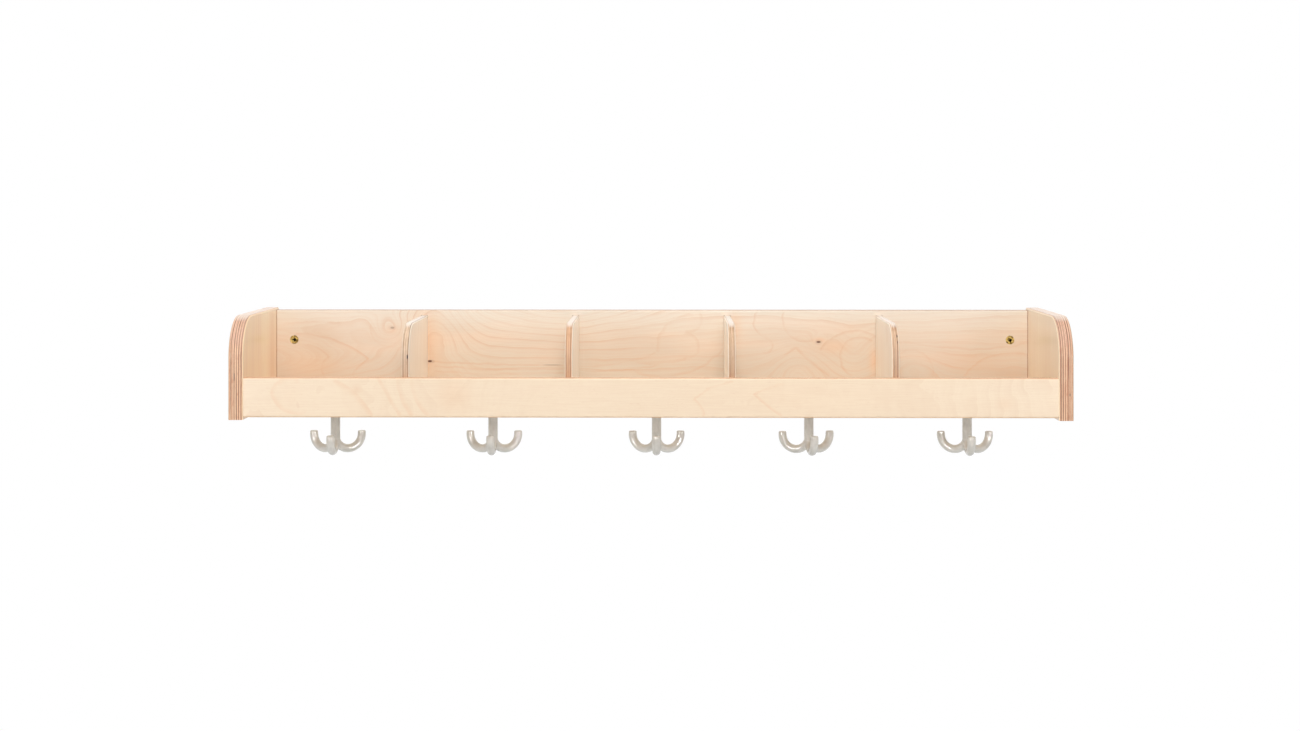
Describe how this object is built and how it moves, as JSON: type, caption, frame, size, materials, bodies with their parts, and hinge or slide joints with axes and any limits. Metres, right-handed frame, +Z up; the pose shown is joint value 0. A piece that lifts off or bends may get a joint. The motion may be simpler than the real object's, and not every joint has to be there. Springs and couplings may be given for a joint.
{
  "type": "wall coat shelf",
  "caption": "Wall-hung birch plywood coat shelf: open compartments behind a low front rail, with swivelling three-armed coat hooks underneath.",
  "frame": {"origin": "centre of the back panel's rear face, on the wall plane, at mid height of the back panel", "axes": "+X to the right seen from the front, -Y to the front, +Y into the wall, +Z up"},
  "size_m": [1.027, 0.255, 0.1785],
  "materials": {
    "birch_plywood": "clear satin lacquer",
    "beech_dowel": "bare",
    "yellow_zinc_steel": "yellow zinc plated",
    "zinc_steel": "zinc plated",
    "grey_plastic": "moulded, satin"
  },
  "bodies": {
    "shelf": {"side_left": "birch_plywood", "side_right": "birch_plywood", "back_panel": "birch_plywood", "bottom_board": "birch_plywood", "front_rail": "birch_plywood", "divider_1": "birch_plywood", "divider_2": "birch_plywood", "divider_3": "birch_plywood", "divider_4": "birch_plywood", "side_dowels_left": "beech_dowel", "side_dowels_right": "beech_dowel", "rail_dowels": "beech_dowel", "back_dowels": "beech_dowel", "wall_screw_left": "yellow_zinc_steel", "wall_screw_right": "yellow_zinc_steel", "hook_1_bush": "grey_plastic", "hook_1_pivot_screw": "zinc_steel", "hook_1_washer": "zinc_steel", "hook_2_bush": "grey_plastic", "hook_2_pivot_screw": "zinc_steel", "hook_2_washer": "zinc_steel", "hook_3_bush": "grey_plastic", "hook_3_pivot_screw": "zinc_steel", "hook_3_washer": "zinc_steel", "hook_4_bush": "grey_plastic", "hook_4_pivot_screw": "zinc_steel", "hook_4_washer": "zinc_steel", "hook_5_bush": "grey_plastic", "hook_5_pivot_screw": "zinc_steel", "hook_5_washer": "zinc_steel"},
    "hook_1": {"hook_1_body": "grey_plastic", "hook_1_cap": "grey_plastic"},
    "hook_2": {"hook_2_body": "grey_plastic", "hook_2_cap": "grey_plastic"},
    "hook_3": {"hook_3_body": "grey_plastic", "hook_3_cap": "grey_plastic"},
    "hook_4": {"hook_4_body": "grey_plastic", "hook_4_cap": "grey_plastic"},
    "hook_5": {"hook_5_body": "grey_plastic", "hook_5_cap": "grey_plastic"}
  },
  "joints": [
    {"name": "hook_1_swivel", "type": "hinge", "parent": "shelf", "child": "hook_1", "pos_m": [-0.4, -0.112, -0.0595], "axis": [0, 0, 1], "continuous": true},
    {"name": "hook_2_swivel", "type": "hinge", "parent": "shelf", "child": "hook_2", "pos_m": [-0.2, -0.112, -0.0595], "axis": [0, 0, 1], "continuous": true},
    {"name": "hook_3_swivel", "type": "hinge", "parent": "shelf", "child": "hook_3", "pos_m": [0.0073, -0.112, -0.0595], "axis": [0, 0, 1], "continuous": true},
    {"name": "hook_4_swivel", "type": "hinge", "parent": "shelf", "child": "hook_4", "pos_m": [0.2, -0.112, -0.0595], "axis": [0, 0, 1], "continuous": true},
    {"name": "hook_5_swivel", "type": "hinge", "parent": "shelf", "child": "hook_5", "pos_m": [0.4, -0.112, -0.0595], "axis": [0, 0, 1], "continuous": true}
  ]
}
